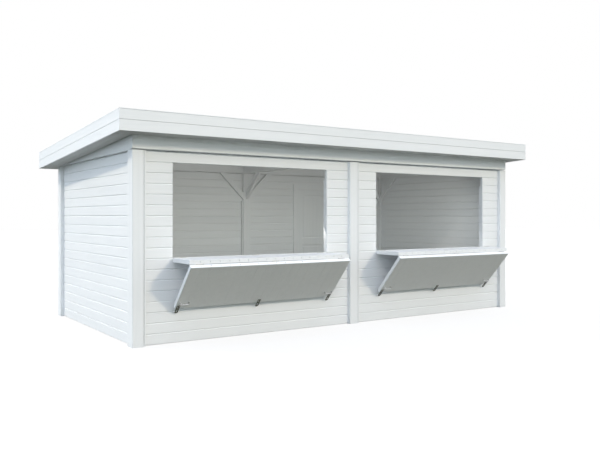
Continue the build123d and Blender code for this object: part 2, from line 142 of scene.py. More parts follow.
# Suns to the right of the front, weaker to its left, and behind the left side
FRONT_SUN = {
    "heading": (-0.244, 0.451, -0.262),
    "strength": 0.9,
    "colour": (1.0, 0.84, 0.61),
    "softness": math.radians(5),
}
FILL_SUN = {
    "heading": (0.58, 1.0, -0.82),
    "strength": 0.25,
    "colour": (1.0, 0.85, 0.7),
    "softness": math.radians(1),
}
SIDE_SUN = {
    "heading": (1.0, -1.0, -1.1),
    "strength": 1.6,
    "colour": (1.0, 0.885, 0.68),
    "softness": math.radians(0.6),
}

# Sky, which changes from before the front to behind the left side, and overhead
SKY_BEFORE_FRONT = (1.35, 1.45, 1.28, 1)
SKY_BEHIND_LEFT = (1.83, 2.1, 2.31, 1)
SKY_OVERHEAD = (1.07, 1.19, 1.42, 1)
SKY_BAND = 0.6
BACKDROP_WHITE = (1, 1, 1, 1)

# Lamp along the inside of the front wall, for the light that the hatches let in
ROOM_LAMP_POWER = 25
ROOM_LAMP_SPAN = (1.1, 2.0)
ROOM_LAMP_SHARE = 0.9
ROOM_LAMP_SETBACK = 0.15
ROOM_LAMP_HEADING = (0, 0.9, -0.42)
ROOM_LAMP_COLOUR = (1.0, 0.985, 0.9)

# Floor
FLOOR_HALF = 60
FLOOR_PAINT = (0.9, 0.9, 0.9, 1)
FLOOR_BOUNCE = (0.013, 0.017, 0.006, 1)
FLOOR_GLOW_SHARE = 0.8

# White paint over wood grain: a relief has a strength and a depth
WHITE_PAINT = (0.86, 0.875, 0.89, 1)
SHADED_PAINT = (0.79, 0.81, 0.83, 1)
# Greyer white on the soffit: painted shade, standing for the shade under the eaves.
SOFFIT_GREY_PAINTED_SHADE = (0.70, 0.71, 0.70, 1)
SOFFIT_GRAIN_PAINTED_SHADE = (0.63, 0.64, 0.63, 1)
PAINT_GLOSS = 0.25
PAINT_ROUGHNESS = (0.56, 0.7)
GRAIN_ALONG = 1.1
GRAIN_ACROSS = 26
GRAIN_DETAIL = 6
GRAIN_DISTORTION = 0.6
GRAIN_SPREAD = (0.35, 0.75)
GRAIN_SHADE = 0.4
GRAIN_RELIEF = (0.25, 0.0015)
CLOUD_SCALE = 1.7
CLOUD_SHADE = 0.25
BOARD_SHADE = 0.35
BOARD_TONE = 1
HATCH_TONE = 0.4

# Zinc-plated steel, and a near-black that paints the dark reflection on the hasps
DULL_ZINC = (0.55, 0.56, 0.57, 1)
BRIGHT_ZINC = (0.72, 0.73, 0.74, 1)
# Near-black on the hasps: a painted reflection of the dark ground below them.
HASP_DARK_PAINTED_REFLECTION = (0.07, 0.075, 0.06, 1)
ZINC_ROUGHNESS = (0.28, 0.42)
SPANGLE_STRETCH = (60, 60, 60)
SPANGLE_DETAIL = 2

# Roofing sheet
DARK_SHEET = (0.045, 0.047, 0.05, 1)
DUSTY_SHEET = (0.14, 0.145, 0.15, 1)
SHEET_ROUGHNESS = (0.6, 0.85)
DUST_SCALE = 3
DUST_DETAIL = 8
RIPPLE_STRETCH = (0.7, 2.5, 1)
RIPPLE_SCALE = 2
RIPPLE_RELIEF = (0.35, 0.006)

# Patterns
NOISE_DETAIL = 4
NOISE_SPREAD = (0.3, 0.7)
TONE = "tone"


# Materials

def new_material(name):
    """An empty node material with its principled shader."""
    material = bpy.data.materials.new(name)
    material.use_nodes = True
    tree = material.node_tree
    return material, tree, tree.nodes["Principled BSDF"]


def mapped(tree, stretch=(1, 1, 1), turn=(0, 0, 0)):
    """Object coordinates, turned and stretched."""
    place = tree.nodes.new("ShaderNodeTexCoord")
    mapping = tree.nodes.new("ShaderNodeMapping")
    mapping.inputs["Rotation"].default_value = turn
    mapping.inputs["Scale"].default_value = stretch
    tree.links.new(place.outputs["Object"], mapping.inputs["Vector"])
    return mapping.outputs["Vector"]


def noise(tree, vector, scale=1, detail=NOISE_DETAIL, distortion=0):
    """A soft random pattern between 0 and 1."""
    node = tree.nodes.new("ShaderNodeTexNoise")
    node.inputs["Scale"].default_value = scale
    node.inputs["Detail"].default_value = detail
    node.inputs["Distortion"].default_value = distortion
    tree.links.new(vector, node.inputs["Vector"])
    return node.outputs["Fac"]


def ranged(tree, value, spread, result):
    """A value moved from one range to another, and held there."""
    node = tree.nodes.new("ShaderNodeMapRange")
    for name, number in zip(("From Min", "From Max", "To Min", "To Max"), (*spread, *result)):
        node.inputs[name].default_value = number
    tree.links.new(value, node.inputs["Value"])
    return node.outputs["Result"]


def face_tone(tree):
    """The tone that a mesh gives each of its faces."""
    node = tree.nodes.new("ShaderNodeAttribute")
    node.attribute_name = TONE
    return node.outputs["Fac"]


def joined(tree, first, second, operation="ADD"):
    """Two values joined by a sum or another operation."""
    node = tree.nodes.new("ShaderNodeMath")
    node.operation = operation
    tree.links.new(first, node.inputs[0])
    tree.links.new(second, node.inputs[1])
    return node.outputs["Value"]


def blended(tree, factor, first, second):
    """A colour between two, each fixed or from another node."""
    node = tree.nodes.new("ShaderNodeMix")
    node.data_type = "RGBA"
    for name, colour in (("A", first), ("B", second)):
        if isinstance(colour, tuple):
            node.inputs[name].default_value = colour
        else:
            tree.links.new(colour, node.inputs[name])
    tree.links.new(factor, node.inputs["Factor"])
    return node.outputs["Result"]


def bumped(tree, shader, height, strength, distance):
    """Relief on a shader from a height."""
    node = tree.nodes.new("ShaderNodeBump")
    node.inputs["Strength"].default_value = strength
    node.inputs["Distance"].default_value = distance
    tree.links.new(height, node.inputs["Height"])
    tree.links.new(node.outputs["Normal"], shader.inputs["Normal"])


def mixed(tree, first, second):
    """A mix of two shaders."""
    node = tree.nodes.new("ShaderNodeMixShader")
    tree.links.new(first.outputs[0], node.inputs[1])
    tree.links.new(second.outputs[0], node.inputs[2])
    return node


def painted_wood(name, stretch, turn=(0, 0, 0), paints=(WHITE_PAINT, SHADED_PAINT)):
    """Paint over grain that runs along one direction, each board a little different."""
    material, tree, shader = new_material(name)
    grain = noise(tree, mapped(tree, stretch, turn), detail=GRAIN_DETAIL, distortion=GRAIN_DISTORTION)
    clouds = noise(tree, mapped(tree), CLOUD_SCALE)
    grain_shade = ranged(tree, grain, GRAIN_SPREAD, (0, GRAIN_SHADE))
    cloud_shade = ranged(tree, clouds, NOISE_SPREAD, (0, CLOUD_SHADE))
    board_shade = ranged(tree, face_tone(tree), (-BOARD_TONE, BOARD_TONE), (0, BOARD_SHADE))
    shade = joined(tree, joined(tree, grain_shade, cloud_shade), board_shade)
    tree.links.new(blended(tree, shade, *paints), shader.inputs["Base Color"])
    tree.links.new(ranged(tree, grain, NOISE_SPREAD, PAINT_ROUGHNESS), shader.inputs["Roughness"])
    shader.inputs["Specular IOR Level"].default_value = PAINT_GLOSS
    bumped(tree, shader, grain, *GRAIN_RELIEF)
    return material


def zinc_steel():
    """Zinc-plated steel with a faint spangle, or painted near-black where its tone is 1, a painted
    reflection of the dark ground.
    """
    material, tree, shader = new_material("zinc_steel")
    spangle = noise(tree, mapped(tree, SPANGLE_STRETCH), detail=SPANGLE_DETAIL)
    zinc = blended(tree, spangle, DULL_ZINC, BRIGHT_ZINC)
    # Faces with tone 1, the hasps, are painted near-black: a painted reflection of the dark ground below.
    colour = blended(tree, face_tone(tree), zinc, HASP_DARK_PAINTED_REFLECTION)
    tree.links.new(colour, shader.inputs["Base Color"])
    tree.links.new(ranged(tree, spangle, NOISE_SPREAD, ZINC_ROUGHNESS), shader.inputs["Roughness"])
    shader.inputs["Metallic"].default_value = 1
    return material


def roof_sheet():
    """Dark matt roofing sheet with dust and slight ripples."""
    material, tree, shader = new_material("roof_sheet")
    dust = noise(tree, mapped(tree), DUST_SCALE, DUST_DETAIL)
    ripples = noise(tree, mapped(tree, RIPPLE_STRETCH), RIPPLE_SCALE)
    tree.links.new(blended(tree, dust, DARK_SHEET, DUSTY_SHEET), shader.inputs["Base Color"])
    tree.links.new(ranged(tree, dust, NOISE_SPREAD, SHEET_ROUGHNESS), shader.inputs["Roughness"])
    bumped(tree, shader, ripples, *RIPPLE_RELIEF)
    return material


PAINT_X = painted_wood("white_paint_grain_x", (GRAIN_ALONG, GRAIN_ACROSS, GRAIN_ACROSS))
PAINT_Y = painted_wood("white_paint_grain_y", (GRAIN_ACROSS, GRAIN_ALONG, GRAIN_ACROSS))
PAINT_Z = painted_wood("white_paint_grain_z", (GRAIN_ACROSS, GRAIN_ACROSS, GRAIN_ALONG))
# Soffit material in the greyer paint: painted shade under the eaves.
SOFFIT_PAINTED_SHADE_X = painted_wood(
    "soffit_painted_shade", (GRAIN_ALONG, GRAIN_ACROSS, GRAIN_ACROSS), paints=(SOFFIT_GREY_PAINTED_SHADE, SOFFIT_GRAIN_PAINTED_SHADE)
)
STEEL = zinc_steel()
SHEET = roof_sheet()


# Shaping and placing

def place_piece(name, mesh, material, body, slot, *nodes):
    """Turn a finished mesh into a piece that rides a body and stands for some nodes."""
    bmesh.ops.recalc_face_normals(mesh, faces=mesh.faces)
    data = bpy.data.meshes.new(name)
    mesh.to_mesh(data)
    mesh.free()
    data.materials.append(material)
    piece = bpy.data.objects.new(name, data)
    bpy.context.scene.collection.objects.link(piece)
    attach(piece, body)
    if nodes:
        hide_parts(*nodes)
    return piece


def board_mesh():
    """An empty mesh whose faces carry a tone for each board."""
    mesh = bmesh.new()
    mesh.faces.layers.float.new(TONE)
    return mesh


def add_drawn(mesh, place, outline, length, tone):
    """Draw an outline of (depth, height) points out along X, and put it in place."""
    near = [mesh.verts.new((0, depth, height)) for depth, height in outline]
    drawn = bmesh.ops.extrude_face_region(mesh, geom=[mesh.faces.new(near)])
    far = [part for part in drawn["geom"] if isinstance(part, bmesh.types.BMVert)]
    bmesh.ops.translate(mesh, verts=far, vec=(length, 0, 0))
    bmesh.ops.transform(mesh, matrix=place, verts=near + far)
    layer = mesh.faces.layers.float[TONE]
    for corner in near + far:
        for face in corner.link_faces:
            face[layer] = tone


def board_outline(thickness, low, high, cut_below=False):
    """Cross-section of a wall board, chamfered unless it is cut below, with a slit on each face."""
    under, upper = UNDER_CHAMFER, UPPER_CHAMFER
    if cut_below:
        bottom = [(thickness, low), (0, low)]
    else:
        bottom = [(thickness, low + under), (thickness - under, low), (under, low), (0, low + under)]
    shoulder = high - SLIT_WIDTH
    return bottom + [
        (0, shoulder - upper),
        (upper, shoulder),
        (SLIT_DEPTH, shoulder),
        (SLIT_DEPTH, high),
        (thickness - SLIT_DEPTH, high),
        (thickness - SLIT_DEPTH, shoulder),
        (thickness - upper, shoulder),
        (thickness, shoulder - upper),
    ]


def tongued_outline(thickness, low, high, first, last):
    """Cross-section of a hatch board, with a groove in its lower edge and a tongue on its upper one."""
    edge, middle = HATCH_CHAMFER, thickness / 2
    groove, tongue = GROOVE_WIDTH / 2, TONGUE_THICKNESS / 2
    points = [(thickness, low + edge), (thickness - edge, low)]
    if not first:
        points += [(middle + groove, low), (middle + groove, low + GROOVE_DEPTH)]
        points += [(middle - groove, low + GROOVE_DEPTH), (middle - groove, low)]
    points += [(edge, low), (0, low + edge), (0, high - edge), (edge, high)]
    if not last:
        points += [(middle - tongue, high), (middle - tongue, high + TONGUE_LENGTH)]
        points += [(middle + tongue, high + TONGUE_LENGTH), (middle + tongue, high)]
    return points + [(thickness - edge, high), (thickness, high - edge)]


def plank_outline(thickness, low, high):
    """Cross-section of a roof board, chamfered on its under face."""
    edge = ROOF_BOARD_CHAMFER
    under = [(edge, low), (0, low + edge), (0, high - edge), (edge, high)]
    return [(thickness, low)] + under + [(thickness, high)]


def laid_along(origin, length_way, depth_way, height_way):
    """Matrix that turns a drawn piece's length, depth and height into three directions."""
    return Matrix.Translation(origin) @ Matrix((length_way, depth_way, height_way)).transposed().to_4x4()


def merged_copy(node):
    """A node's shape with its triangles joined into flat faces."""
    mesh = bmesh.new()
    mesh.from_mesh(frame["nodes"][node].data)
    bmesh.ops.remove_doubles(mesh, verts=mesh.verts, dist=WELD)
    bmesh.ops.dissolve_limit(mesh, angle_limit=FLAT_ANGLE, verts=mesh.verts, edges=mesh.edges)
    return mesh


def eased(mesh, size, segments=2):
    """A mesh with its sharp edges rounded over."""
    sharp = [edge for edge in mesh.edges if edge.is_manifold and edge.calc_face_angle() > SHARP_ANGLE]
    bmesh.ops.bevel(
        mesh, geom=sharp, offset=size, segments=segments, profile=0.5,
        affect="EDGES", clamp_overlap=True, material=-1,
    )
    return mesh


def dress_timber(node, material, size):
    """Replace a squared timber by one with eased edges."""
    place_piece(f"{node}_eased", eased(merged_copy(node), size), material, "hut", "painted_frame", node)


def solid_boxes(node):
    """Lowest and highest corners of each solid of a node, from left to right."""
    mesh = bmesh.new()
    mesh.from_mesh(frame["nodes"][node].data)
    bmesh.ops.remove_doubles(mesh, verts=mesh.verts, dist=WELD)
    left_over = set(mesh.verts)
    boxes = []
    while left_over:
        reached = {left_over.pop()}
        waiting = list(reached)
        while waiting:
            corner = waiting.pop()
            for edge in corner.link_edges:
                other = edge.other_vert(corner)
                if other in left_over:
                    left_over.remove(other)
                    reached.add(other)
                    waiting.append(other)
        axes = list(zip(*(corner.co for corner in reached)))
        boxes.append((Vector([min(axis) for axis in axes]), Vector([max(axis) for axis in axes])))
    mesh.free()
    return sorted(boxes, key=lambda box: tuple(box[0]))


# Board walls

def add_wall(mesh, corner, turn, length, thickness, rows, opening=(0, 0, 0, 0)):
    """Rows of boards from a corner on the ground, with an opening of (near, far, sill, head) left out."""
    place = Matrix.Translation(corner) @ Matrix.Rotation(turn, 4, "Z")
    near, far, sill, head = opening

    def lay(start, end, outline, tone):
        add_drawn(mesh, place @ Matrix.Translation((start, 0, 0)), outline, end - start, tone)

    for row in range(rows):
        low, high = row * BOARD_PITCH, (row + 1) * BOARD_PITCH
        whole = board_outline(thickness, low, high)
        tone = pick.uniform(-BOARD_TONE, BOARD_TONE)
        if high < sill + WELD or low > head - WELD:
            lay(0, length, whole, tone)
            continue
        lay(0, near, whole, tone)
        lay(far, length, whole, tone)
        if high > head + WELD:
            lay(near, far, board_outline(thickness, head, high, cut_below=True), tone)


def make_front_wall(thickness, rows):
    """Front boards in two bays, each with a hatch opening between its battens."""
    left, centre, right = (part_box(f"front_{column}_post") for column in ("left", "centre", "right"))
    below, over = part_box("front_wall_below_hatches"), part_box("front_wall_over_hatches")
    ground = below[0].z
    mesh = board_mesh()
    for start, end in ((left[1].x, centre[0].x), (centre[1].x, right[0].x)):
        battens = [box for box in solid_boxes("hatch_jamb_battens") if start < box[0].x < end]
        near, far = battens[0][1].x - start, battens[-1][0].x - start
        opening = (near, far, below[1].z - ground, over[0].z - ground)
        add_wall(mesh, (start, below[0].y, ground), 0, end - start, thickness, rows, opening)
    place_piece(
        "front_boards", mesh, PAINT_X, "hut", "painted_boards",
        "front_wall_below_hatches", "front_wall_beside_hatches", "front_wall_over_hatches",
    )


def make_side_walls(thickness, rows):
    """Plain left and right walls."""
    left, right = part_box("left_wall"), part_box("right_wall")
    for node, box, turn, corner in (
        ("left_wall", left, -math.pi / 2, (left[0].x, left[1].y, left[0].z)),
        ("right_wall", right, math.pi / 2, (right[1].x, right[0].y, right[0].z)),
    ):
        mesh = board_mesh()
        add_wall(mesh, corner, turn, box[1].y - box[0].y, thickness, rows)
        place_piece(f"{node}_boards", mesh, PAINT_Y, "hut", "painted_boards", node)


def make_back_wall(thickness, rows):
    """Back boards in two bays, one plain and one with the doorway."""
    low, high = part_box("back_left_wall")
    ground = low.z
    mesh = board_mesh()
    add_wall(mesh, (high.x, high.y, ground), math.pi, high.x - low.x, thickness, rows)
    place_piece("back_left_boards", mesh, PAINT_X, "hut", "painted_boards", "back_left_wall")

    low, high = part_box("back_wall_over_door")
    left, right = solid_boxes("back_wall_beside_door")
    opening = (high.x - right[0].x, high.x - left[1].x, 0, low.z - ground)
    mesh = board_mesh()
    add_wall(mesh, (high.x, high.y, ground), math.pi, high.x - low.x, thickness, rows, opening)
    place_piece(
        "back_door_boards", mesh, PAINT_X, "hut", "painted_boards",
        "back_wall_beside_door", "back_wall_over_door",
    )


def make_walls():
    """Board walls between the posts, all of one thickness and as many rows."""
    below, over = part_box("front_wall_below_hatches"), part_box("front_wall_over_hatches")
    thickness = below[1].y - below[0].y
    rows = round((over[1].z - below[0].z) / BOARD_PITCH)
    make_front_wall(thickness, rows)
    make_side_walls(thickness, rows)
    make_back_wall(thickness, rows)


# Strips beside the posts

def add_strip(mesh, corner, wall_way, post_way, depth, top):
    """A square strip that stands on a wall beside a post."""
    start = Vector(corner) + Vector(wall_way) * STRIP_GAP
    place = laid_along(start, UPWARD, wall_way, post_way)
    rise = depth - STRIP_SETBACK
    outline = [(0, 0), (STRIP_WIDTH, 0), (STRIP_WIDTH, rise), (0, rise)]
    add_drawn(mesh, place, outline, top - corner[2], pick.uniform(-BOARD_TONE, BOARD_TONE))


def make_strips():
    """Strips up one end of each wall outside, to the beams, and of the back bays inside, to the braces."""
    post, centre, far_post = (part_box(f"front_{column}_post") for column in ("left", "centre", "right"))
    front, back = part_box("front_wall_below_hatches"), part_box("back_left_wall")
    left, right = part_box("left_wall"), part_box("right_wall")
    ground, wall_top = left[0].z, left[1].z
    room_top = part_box("centre_braces")[0].z - STRIP_BELOW_BRACES
    outer, inner = front[0].y - post[0].y, post[1].y - front[1].y

    mesh = board_mesh()
    for low, high in ((post[1].x, centre[0].x), (centre[1].x, far_post[0].x)):
        add_strip(mesh, (low, front[0].y, ground), RIGHTWARD, FORWARD, outer, wall_top)
        add_strip(mesh, (low, back[1].y, ground), RIGHTWARD, BACKWARD, outer, wall_top)
        add_strip(mesh, (high, back[0].y, ground), LEFTWARD, FORWARD, inner, room_top)
    add_strip(mesh, (left[0].x, post[1].y, ground), BACKWARD, LEFTWARD, outer, wall_top)
    add_strip(mesh, (right[1].x, post[1].y, ground), BACKWARD, RIGHTWARD, outer, wall_top)
    place_piece("post_strips", mesh, PAINT_Z, "hut", "painted_frame")


# Serving hatches

def add_panel(mesh, place, width, depth, thickness):
    """A panel of boards side by side: X runs along a board, Y into the panel and Z across the boards."""
    pitch = width / HATCH_BOARDS
    for number in range(HATCH_BOARDS):
        first, last = number == 0, number == HATCH_BOARDS - 1
        outline = tongued_outline(thickness, number * pitch, (number + 1) * pitch, first, last)
        add_drawn(mesh, place, outline, depth, pick.uniform(-HATCH_TONE, HATCH_TONE))


def leaf_frame(side):
    """A leaf's upper hidden corner at rest, the way down its boards and the way out to its face."""
    shape = [corner.co for corner in frame["nodes"][f"{side}_hatch_leaf"].data.vertices]
    head = max(shape, key=lambda spot: spot.z)
    outer = min(shape, key=lambda spot: spot.y)
    foot = max(shape, key=lambda spot: spot.y)
    down = Vector((0, foot.y - head.y, foot.z - head.z))
    through = Vector((0, outer.y - head.y, outer.z - head.z))
    return head, down, through


def make_hatches():
    """Counter flaps and fold-out leaves, made of boards that run from the hinge outwards."""
    for side in ("left", "right"):
        low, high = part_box(f"{side}_counter")
        width, thickness = high.x - low.x, high.z - low.z
        place = laid_along((low.x, high.y, high.z), FORWARD, DOWNWARD, RIGHTWARD)
        counter = board_mesh()
        add_panel(counter, place, width, high.y - low.y, thickness)
        flap = f"{side}_counter_flap"
        place_piece(f"{side}_counter_boards", counter, PAINT_Y, flap, "painted_panels", f"{side}_counter")

        head, down, through = leaf_frame(side)
        run, out = down.normalized(), through.normalized()
        place = laid_along((low.x, head.y, head.z), run, out, RIGHTWARD)
        leaf = board_mesh()
        add_panel(leaf, place, width, down.length, through.length)
        lean = math.atan2(-run.z, run.y)
        stretch = (GRAIN_ACROSS, GRAIN_ALONG, GRAIN_ACROSS)
        paint = painted_wood(f"{side}_leaf_paint", stretch, (lean, 0, 0))
        body = f"{side}_fold_leaf"
        place_piece(f"{side}_leaf_boards", leaf, paint, body, "painted_panels", f"{side}_hatch_leaf")


# Frame and door

def make_sloped_beam(node, outer):
    """A front or back beam whose outer lower edge is a little higher, to shed rain."""
    mesh = merged_copy(node)
    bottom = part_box(node)[0].z
    for corner in mesh.verts:
        if abs(corner.co.y - outer) < WELD and corner.co.z < bottom + WELD:
            corner.co.z += BEAM_SLOPE
    place_piece(f"{node}_eased", eased(mesh, TIMBER_EASE), PAINT_X, "hut", "painted_frame", node)


def make_frame():
    """Beams, braces and battens with eased edges, and the posts as they are."""
    make_sloped_beam("front_beam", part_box("front_beam")[0].y)
    make_sloped_beam("back_beam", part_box("back_beam")[1].y)
    for node in ("side_beams", "centre_beam"):
        dress_timber(node, PAINT_Y, TIMBER_EASE)
    for node in (
        "front_braces", "back_braces", "side_braces", "centre_braces", "hatch_jamb_battens", "door_frame",
    ):
        dress_timber(node, PAINT_Z, BOARD_EASE)
    for row in ("front", "back"):
        for column in ("left", "centre", "right"):
            frame["nodes"][f"{row}_{column}_post"].data.materials[0] = PAINT_Z


def make_door():
    """Door leaf with a raised field in each panel, on both sides."""
    mesh = eased(merged_copy("door_leaf"), BOARD_EASE)
    low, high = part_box("door_leaf")
    panels = [
        face for face in mesh.faces
        if abs(face.normal.y) > math.cos(FLAT_ANGLE)
        and low.y + PANEL_SKIN < face.calc_center_median().y < high.y - PANEL_SKIN
    ]
    bmesh.ops.inset_individual(mesh, faces=panels, thickness=FIELD_MARGIN)
    bmesh.ops.inset_individual(mesh, faces=panels, thickness=FIELD_SLOPE, depth=FIELD_RISE)
    place_piece("door_leaf_panelled", mesh, PAINT_Z, "door", "painted_panels", "door_leaf")


# Roof

def slope_of(node):
    """A sloped slab's under face at its front edge, its thickness and its fall over a metre."""
    spots = [corner.co for corner in frame["nodes"][node].data.vertices]
    front, back = min(spot.y for spot in spots), max(spot.y for spot in spots)
    heights = [spot.z for spot in spots if spot.y < front + WELD]
    back_height = min(spot.z for spot in spots if spot.y > back - WELD)
    return min(heights), max(heights) - min(heights), (min(heights) - back_height) / (back - front)


def add_planks(mesh, place, length, width, thickness, count):
    """Roof boards side by side."""
    pitch = width / count
    for number in range(count):
        outline = plank_outline(thickness, number * pitch, (number + 1) * pitch)
        add_drawn(mesh, place, outline, length, pick.uniform(-BOARD_TONE, BOARD_TONE))


def make_deck():
    """Deck boards from side to side over the joists."""
    low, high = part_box("roof_deck")
    under, thickness, fall = slope_of("roof_deck")
    place = laid_along((low.x, low.y, under), RIGHTWARD, UPWARD, (0, 1, -fall))
    mesh = board_mesh()
    add_planks(mesh, place, high.x - low.x, high.y - low.y, thickness, DECK_BOARDS)
    place_piece("deck_boards", mesh, PAINT_X, "hut", "painted_boards", "roof_deck")


def make_soffit():
    """Soffit boards along the eaves, in a greyer paint that is painted shade under them."""
    thickness = slope_of("soffit")[1]
    fall = slope_of("roof_deck")[2]
    mesh = board_mesh()
    for low, high in solid_boxes("soffit"):
        width, depth = high.x - low.x, high.y - low.y
        corner = (low.x, low.y, low.z + depth * fall)
        if width > depth:
            place = laid_along(corner, RIGHTWARD, UPWARD, (0, 1, -fall))
            add_planks(mesh, place, width, depth, thickness, SOFFIT_BOARDS)
        else:
            place = laid_along(corner, (0, 1, -fall), UPWARD, RIGHTWARD)
            add_planks(mesh, place, depth, width, thickness, SOFFIT_BOARDS)
    # The soffit boards take the greyer paint, which is painted shade.
    place_piece("soffit_boards", mesh, SOFFIT_PAINTED_SHADE_X, "hut", "painted_boards", "soffit")


def fascia_columns(mesh):
    """Corners of a two-board fascia in upright columns, each from its bottom up."""
    columns = {}
    for corner in mesh.verts:
        spot = (round(corner.co.x, COLUMN_DIGITS), round(corner.co.y, COLUMN_DIGITS))
        columns.setdefault(spot, []).append(corner)
    return [sorted(column, key=lambda corner: corner.co.z) for column in columns.values()]


def make_fascia():
    """Two fascia boards all round, with a thin cap strip over a shadow gap."""
    sides = (("front_fascia", PAINT_X), ("back_fascia", PAINT_X), ("side_fascias", PAINT_Y))
    for node, material in sides:
        boards = merged_copy(node)
        for column in fascia_columns(boards):
            column[-1].co.z -= CAP_HEIGHT + CAP_GAP
        eased(boards, FASCIA_EASE)
        place_piece(f"{node}_boards", boards, material, "hut", "painted_frame", node)

        cap = merged_copy(node)
        columns = fascia_columns(cap)
        for column in columns:
            column[-2].co.z = column[-1].co.z - CAP_HEIGHT
        lower_board = [corner for column in columns for corner in column[:-2]]
        bmesh.ops.delete(cap, geom=lower_board, context="VERTS")
        place_piece(f"{node}_cap", eased(cap, FASCIA_EASE), material, "hut", "painted_frame")


def make_sheet():
    """Roofing sheet in lapped strips, turned up against the fascia."""
    mesh = merged_copy("roof_covering")
    top = max(mesh.faces, key=lambda face: face.normal.z)
    rim = bmesh.ops.inset_region(mesh, faces=[top], thickness=SHEET_RIM, use_even_offset=True)["faces"]
    raised = bmesh.ops.extrude_face_region(mesh, geom=rim)
    corners = [part for part in raised["geom"] if isinstance(part, bmesh.types.BMVert)]
    bmesh.ops.translate(mesh, verts=corners, vec=(0, 0, SHEET_UPSTAND))
    place_piece("roof_sheet", mesh, SHEET, "hut", "roof_membrane", "roof_covering")

    low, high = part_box("roof_covering")
    fall = slope_of("roof_covering")[2]
    near, far = (LAP_THICKNESS, LAP_EDGE), (LAP_THICKNESS, LAP_WIDTH - LAP_EDGE)
    outline = [(0, 0), near, far, (0, LAP_WIDTH)]
    start = Vector((0, low.y + SHEET_RIM, high.z - fall * SHEET_RIM))
    laps = board_mesh()
    for number in range(1, SHEET_STRIPS):
        start.x = low.x + (high.x - low.x) * number / SHEET_STRIPS - LAP_WIDTH / 2
        place = laid_along(start, (0, 1, -fall), UPWARD, RIGHTWARD)
        add_drawn(laps, place, outline, high.y - low.y - 2 * SHEET_RIM, 0)
    place_piece("roof_sheet_laps", laps, SHEET, "hut", "roof_membrane")


def make_roof():
    """Joists and blocking with eased edges, and everything over and around them."""
    dress_timber("roof_joists", PAINT_Y, BOARD_EASE)
    dress_timber("roof_blocking", PAINT_X, BOARD_EASE)
    make_deck()
    make_soffit()
    make_fascia()
    make_sheet()


# Steel fittings

def add_screw(mesh, place, facing):
    """A screw head with a round socket, sunk by half in a face."""
    facing = Vector(facing)
    turn = facing.to_track_quat("Z", "Y").to_matrix().to_4x4()
    head = bmesh.ops.create_cone(
        mesh, cap_ends=True, segments=SCREW_SIDES, radius1=SCREW_RADIUS, radius2=SCREW_TOP_RADIUS,
        depth=SCREW_HEIGHT, matrix=Matrix.Translation(place) @ turn,
    )
    faces = {face for corner in head["verts"] for face in corner.link_faces}
    top = max(faces, key=lambda face: face.calc_center_median().dot(facing))
    bmesh.ops.inset_individual(mesh, faces=[top], thickness=SOCKET_RIM, depth=-SOCKET_DEPTH)


def is_about(size, wanted):
    """Whether a measured size is the wanted one."""
    return abs(size - wanted) < SIZE_MARGIN


def darken_hasps_painted_reflection(mesh, side):
    """Give the hasps, at a leaf's foot, the near-black tone that paints their reflection of the dark
    ground.
    """
    head, down, _ = leaf_frame(side)
    layer = mesh.faces.layers.float.new(TONE)
    for face in mesh.faces:
        along = (face.calc_center_median() - head).dot(down.normalized())
        face[layer] = along > down.length - HASP_REACH


def make_hatch_screws():
    """Three screws in each hasp."""
    for side in ("left", "right"):
        head, down, through = leaf_frame(side)
        out = through.normalized()
        foot = head + down + through + out * HASP_THICKNESS
        mesh = bmesh.new()
        for low, high in solid_boxes(f"{side}_hatch_leaf_fittings"):
            if not is_about(high.x - low.x, HASP_WIDTH):
                continue
            middle = (low.x + high.x) / 2
            near, far = (foot - down.normalized() * rise for rise in HASP_SCREW_RISES)
            add_screw(mesh, (middle, near.y, near.z), out)
            add_screw(mesh, (middle - HASP_SCREW_SPREAD, far.y, far.z), out)
            add_screw(mesh, (middle + HASP_SCREW_SPREAD, far.y, far.z), out)
        place_piece(f"{side}_hasp_screws", mesh, STEEL, f"{side}_fold_leaf", "steel")


def add_wing_screws(mesh, x, low, high):
    """Three screws up an outer hinge wing of the door."""
    middle = (low.z + high.z) / 2
    for z in (low.z + WING_SCREW_INSET, middle, high.z - WING_SCREW_INSET):
        add_screw(mesh, (x, low.y + WING_THICKNESS, z), BACKWARD)


def make_door_screws():
    """Screws in the door's hinge wings and handle plates."""
    mesh = bmesh.new()
    for low, high in solid_boxes("door_frame_hinges"):
        add_wing_screws(mesh, low.x + WING_SCREW_INSET, low, high)
    place_piece("door_frame_hinge_screws", mesh, STEEL, "hut", "steel")

    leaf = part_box("door_leaf")
    mesh = bmesh.new()
    for low, high in solid_boxes("door_fittings"):
        height = high.z - low.z
        if is_about(height, HINGE_LENGTH):
            add_wing_screws(mesh, high.x - WING_SCREW_INSET, low, high)
        elif is_about(height, PLATE_HEIGHT):
            outside = low.y > leaf[0].y
            y = low.y + PLATE_THICKNESS if outside else high.y - PLATE_THICKNESS
            facing = BACKWARD if outside else FORWARD
            for z in (low.z + PLATE_SCREW_INSET, high.z - PLATE_SCREW_INSET):
                add_screw(mesh, (high.x - PLATE_WIDTH / 2, y, z), facing)
    place_piece("door_fitting_screws", mesh, STEEL, "door", "steel")


def make_fittings():
    """Hinges, hasps, pulls and handles in plated steel, with a fine bevel and smooth barrels."""
    bodies = {
        node: body for body, nodes in frame["record"]["behaviour"]["bodies"].items() for node in nodes
    }
    for node in sorted(frame["nodes"]):
        if node.endswith(("hinges", "fittings")):
            mesh = eased(merged_copy(node), STEEL_EASE, segments=1)
            if node.endswith("hatch_leaf_fittings"):
                # The hasps get the near-black painted reflection.
                darken_hasps_painted_reflection(mesh, node.split("_")[0])
            piece = place_piece(f"{node}_steel", mesh, STEEL, bodies[node], "steel", node)
            piece.data.shade_smooth()
            piece.data.set_sharp_from_angle(angle=SHARP_ANGLE)
    make_hatch_screws()
    make_door_screws()


# Floor, light and camera

